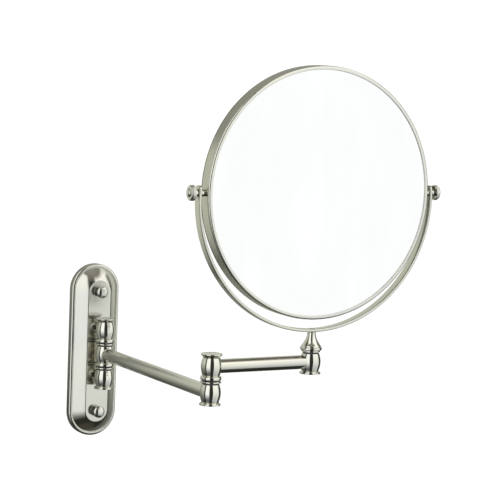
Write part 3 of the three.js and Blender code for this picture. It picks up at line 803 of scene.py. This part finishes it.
def cut_flutes(mesh, matrix):
    """Presses fine grip flutes into the knob's round side, running out at its rounded edge."""
    back = matrix.inverted()
    run_out = knob["rim"] / 2
    for vert in mesh.verts:
        local = back @ vert.co
        radius = math.hypot(local.x, local.y)
        reach = (radius / MM - knob["radius"] + run_out) / run_out
        if reach <= 0:
            continue
        wave = (1 - math.cos(knob["flutes"] * math.atan2(local.y, local.x))) / 2
        shrink = 1 - min(1, reach) * wave * knob["flute_depth"] * MM / radius
        vert.co = matrix @ Vector((local.x * shrink, local.y * shrink, local.z))


def build_knob(place, side):
    mesh = bmesh.new()
    seat = along_x(head_centre, side)
    add_lathe(mesh, knob_section(), seat, around=knob["flutes"] * sides["flute"])
    cut_flutes(mesh, seat)
    make_piece(f"knob_{place}_turned", mesh, f"knob_{place}", knob_nickel)


def build_pivots():
    for place, side in (("right", 1), ("left", -1)):
        build_spacer(place, side)
        build_knob(place, side)


def dress_cad_nodes():
    """The hidden and rear pieces keep their CAD shape and get their own finish."""
    for name, kept in frame["nodes"].items():
        if not kept.hide_render:
            kept.data.materials.clear()
            kept.data.materials.append(slot_finish[slot_of_node[name]])


# ---------------------------------------------------------------- studio
# Directions are in degrees: azimuth from straight in front of the wall towards the right, elevation upwards.
dark_room = (0.032, 0.034, 0.028)
light_areas = (
    # centre, half width, low, high, softness of the edge, colour at the bottom, colour at the top
    (0, 200, 42, 95, 2.5, (0.09, 0.087, 0.07), (0.52, 0.51, 0.45)),  # ceiling
    (0, 200, -95, -68, 3, (0.085, 0.075, 0.055), (0.07, 0.065, 0.05)),  # floor
    (94, 15, 8, 44, 6, (0.20, 0.20, 0.17), (0.34, 0.34, 0.30)),  # right side, high up
    (130, 20, -40, 44, 5, (0.10, 0.10, 0.09), (0.42, 0.42, 0.38)),  # right of the wall
    (-156, 58, -36, 18, 5, (0.03, 0.03, 0.025), (0.78, 0.80, 0.72)),  # left of the wall, low
    (-156, 58, 18, 44, 4, (0.66, 0.67, 0.60), (0.42, 0.42, 0.375)),  # left of the wall, high
    (54, 52, 38, 57, 3, (1.30, 1.28, 1.18), (0.75, 0.74, 0.68)),  # above the right softbox
    (40.5, 37.5, -43, 50, 2, (0.68, 0.73, 0.74), (1.46, 1.45, 1.38)),  # wide softbox on the right
    (40.5, 37.5, -43, -9, 2, (0.50, 0.54, 0.55), (0.95, 0.98, 0.97)),  # its lower part
    (-60.5, 22, -41, 58, 2, (1.12, 1.16, 1.19), (1.34, 1.34, 1.29)),  # narrow softbox on the left
    (-60.5, 22, -41, -8, 2, (0.02, 0.02, 0.02), (1.12, 1.17, 1.21)),  # its lower part, fading to dark
)
white_strength = 1.15
# The pale room that the mirror glass sees fades downwards and away from its centre.
pale_room = {
    "colour": (0.99, 1.0, 1.0), "centre": 29.0,
    "by_height": {"low": -60, "high": -9, "to_low": 0.55, "to_high": 1.0},
    "by_turn": {"low": 20, "high": 130, "to_low": 1.07, "to_high": 0.78},
}
# The wall card, in metres: its edges, then its painted light and painted shade: how its height and the plate's
# nearness change its brightness.
card = {"left": -0.3, "right": 0.25, "low": -0.25, "high": 0.6, "back": 0.003}
card_colour = (0.97, 1.0, 0.88)
card_rise = {"low": -0.12, "high": 0.1, "to_low": 0.14, "to_high": 0.68}
card_top = {"low": 0.24, "high": 0.30, "to_low": 1.0, "to_high": 0.52}
plate_edge = plate["width"] / 2 * MM
card_painted_shade = {"low": plate_edge + 0.002, "high": plate_edge + 0.05, "to_low": 0.4}
card_lit_side = {"low": 0.016, "high": 0.03}
floor_drop = 1.0
floor_reach = 40.0
floor_grain = (3, 3, 3)
floor_colours = ((0.93, 0.93, 0.925), (0.95, 0.95, 0.945))
floor_roughness = 0.9
lamps = (
    # name, place in metres, size in metres, power in watts
    ("key", Vector((-1.6, -1.4, 1.2)), 1.6, 26.0),
    ("fill", Vector((1.4, -1.6, 0.5)), 2.0, 14.0),
)
view = {"azimuth": -28.876, "elevation": 5.845, "roll": 2.215, "distance": 1.639314}
view_target = Vector((0.073631, -0.15, 0.102879))
lens = {"focal_length": 141.55, "sensor": 36, "clip_end": 200}


def turned_from(tree, azimuth, centre):
    """How many degrees a direction lies to either side of a centre."""
    off = maths(tree, "WRAP", maths(tree, "SUBTRACT", azimuth, centre), 180.0, -180.0)
    return maths(tree, "ABSOLUTE", off)


def add_area(tree, sky, azimuth, elevation, centre, half, low, high, soft, bottom, top):
    """Lays one soft-edged light or dark area over the sky colour, shaded from its bottom to its top."""
    inside = ramp(tree, turned_from(tree, azimuth, centre), half - soft, half + soft, 1.0, 0.0)
    above = ramp(tree, elevation, low - soft, low + soft)
    below = ramp(tree, elevation, high - soft, high + soft, 1.0, 0.0)
    shade = mix_colour(tree, ramp(tree, elevation, low, high, smooth=False), rgba(bottom), rgba(top))
    return mix_colour(tree, product(tree, inside, above, below), sky, shade)


def background(tree, colour, strength=1.0):
    return node(tree, "Background", {"Color": colour, "Strength": strength}).outputs[0]


def build_world():
    """Dull surfaces and the camera see white, metal the light areas, and the mirror glass a pale room."""
    world = bpy.data.worlds.new("studio")
    bpy.context.scene.world = world
    world.use_nodes = True
    tree = world.node_tree
    tree.nodes.clear()
    towards = node(tree, "SeparateXYZ", {0: node(tree, "TexCoord").outputs["Generated"]}).outputs
    facing = maths(tree, "MULTIPLY", towards["Y"], -1.0)
    azimuth = maths(tree, "DEGREES", maths(tree, "ARCTAN2", towards["X"], facing))
    elevation = maths(tree, "DEGREES", maths(tree, "ARCSINE", towards["Z"]))
    sky = rgba(dark_room)
    for area in light_areas:
        sky = add_area(tree, sky, azimuth, elevation, *area)
    by_height = ramp(tree, elevation, **pale_room["by_height"])
    by_turn = ramp(tree, turned_from(tree, azimuth, pale_room["centre"]), **pale_room["by_turn"])
    studio = background(tree, sky)
    white = background(tree, rgba((1, 1, 1)), white_strength)
    room = background(tree, rgba(pale_room["colour"]), product(tree, by_height, by_turn))
    ray = node(tree, "LightPath").outputs
    mixed = node(tree, "MixShader", {0: ray["Is Glossy Ray"], 1: white, 2: studio}).outputs[0]
    mixed = node(tree, "MixShader", {0: ray["Is Singular Ray"], 1: mixed, 2: room}).outputs[0]
    connect(tree, node(tree, "OutputWorld").inputs["Surface"], mixed)


def add_sheet(name, corners, material):
    mesh = bmesh.new()
    mesh.faces.new([mesh.verts.new(corner) for corner in corners])
    data = bpy.data.meshes.new(name)
    mesh.to_mesh(data)
    mesh.free()
    data.materials.append(material)
    sheet = bpy.data.objects.new(name, data)
    bpy.context.scene.collection.objects.link(sheet)
    return sheet


def build_floor():
    """A wide pale floor below the hanging object."""
    material, tree, shader = new_material("pale_floor")
    speckle = grain_noise(tree, floor_grain, plain_detail)
    dark, light = floor_colours
    connect(tree, shader.inputs["Base Color"], mix_colour(tree, speckle, rgba(dark), rgba(light)))
    shader.inputs["Roughness"].default_value = floor_roughness
    height = cad_box[0].z - floor_drop
    corners = [(x * floor_reach, y * floor_reach, height) for x, y in ((-1, -1), (1, -1), (1, 1), (-1, 1))]
    floor = add_sheet("floor", corners, material)
    floor.visible_glossy = False


def card_strength(tree):
    """Painted light and painted shade on the card: brighter upwards and dimmer again at the top, and a painted
    shadow round the plate except to its right.
    """
    place = node(tree, "SeparateXYZ", {0: node(tree, "TexCoord").outputs["Object"]}).outputs
    straight = (plate["height"] - plate["width"]) / 2 * MM
    past_end = maths(tree, "SUBTRACT", maths(tree, "ABSOLUTE", place["Z"]), straight)
    over_end = maths(tree, "MAXIMUM", past_end, 0.0)
    offset = node(tree, "CombineXYZ", {"X": place["X"], "Z": over_end}).outputs[0]
    distance = node(tree, "VectorMath", {0: offset}, operation="LENGTH").outputs["Value"]
    # painted shadow of the plate on the card, left open on the plate's right side
    shade = ramp(tree, distance, **card_painted_shade)
    near = maths(tree, "MAXIMUM", shade, ramp(tree, place["X"], **card_lit_side))
    return product(tree, near, ramp(tree, place["Z"], **card_rise), ramp(tree, place["Z"], **card_top))


def build_wall_card():
    """A glowing board just behind the wall's plane, with its light and its shadow round the plate painted into its
    glow, that only the satin metal's reflections see.
    """
    material, tree, shader = new_material("wall_card")
    tree.nodes.remove(shader)
    # the card glows though it is no lamp, with painted light and painted shadow in its strength
    glow = node(tree, "Emission", {"Color": rgba(card_colour), "Strength": card_strength(tree)}).outputs[0]
    unseen = node(tree, "BsdfTransparent").outputs[0]
    sharp = node(tree, "LightPath").outputs["Is Singular Ray"]
    shown = node(tree, "MixShader", {0: sharp, 1: glow, 2: unseen}).outputs[0]
    connect(tree, tree.nodes["Material Output"].inputs["Surface"], shown)
    left, right, low, high, back = (card[key] for key in ("left", "right", "low", "high", "back"))
    corners = [(left, back, low), (right, back, low), (right, back, high), (left, back, high)]
    board = add_sheet("wall_card", corners, material)
    board.visible_camera = False
    board.visible_diffuse = False
    board.visible_shadow = False


def build_lights():
    """Two big soft lamps, hidden from reflections, for whatever isn't metal."""
    for name, place, size, power in lamps:
        lamp = bpy.data.lights.new(name, "AREA")
        lamp.size = size
        lamp.energy = power
        holder = bpy.data.objects.new(name, lamp)
        holder.location = place
        holder.rotation_mode = "QUATERNION"
        holder.rotation_quaternion = (head_centre - place).to_track_quat("-Z", "Y")
        holder.visible_glossy = False
        holder.visible_camera = False
        bpy.context.scene.collection.objects.link(holder)


def build_camera():
    """The camera a little to the left and above, turned slightly about its own line of sight."""
    azimuth, elevation, roll = (math.radians(view[key]) for key in ("azimuth", "elevation", "roll"))
    level = math.cos(elevation)
    back = Vector((math.sin(azimuth) * level, -math.cos(azimuth) * level, math.sin(elevation)))
    right = (-back).cross(Vector((0, 0, 1))).normalized()
    up = right.cross(-back)
    turned_right = right * math.cos(roll) + up * math.sin(roll)
    turned_up = up * math.cos(roll) - right * math.sin(roll)
    data = bpy.data.cameras.new("camera")
    data.lens = lens["focal_length"]
    data.sensor_width = lens["sensor"]
    data.clip_end = lens["clip_end"]
    camera = bpy.data.objects.new("camera", data)
    axes = Matrix((turned_right, turned_up, back)).transposed()
    place = view_target + back * view["distance"]
    camera.matrix_world = Matrix.Translation(place) @ axes.to_4x4()
    bpy.context.scene.collection.objects.link(camera)
    bpy.context.scene.camera = camera


# ---------------------------------------------------------------- build
build_camera()
build_plate()
build_nuts()
build_wall_knuckles()
build_arm_knuckles()
build_tubes()
build_caps()
build_collar_washers()
build_swivel_washer()
build_stem()
build_yoke()
build_stem_bolt()
build_bezels()
build_band()
build_glasses()
build_pivots()
dress_cad_nodes()
build_world()
build_floor()
build_wall_card()
build_lights()
bpy.context.scene.view_settings.view_transform = "Standard"
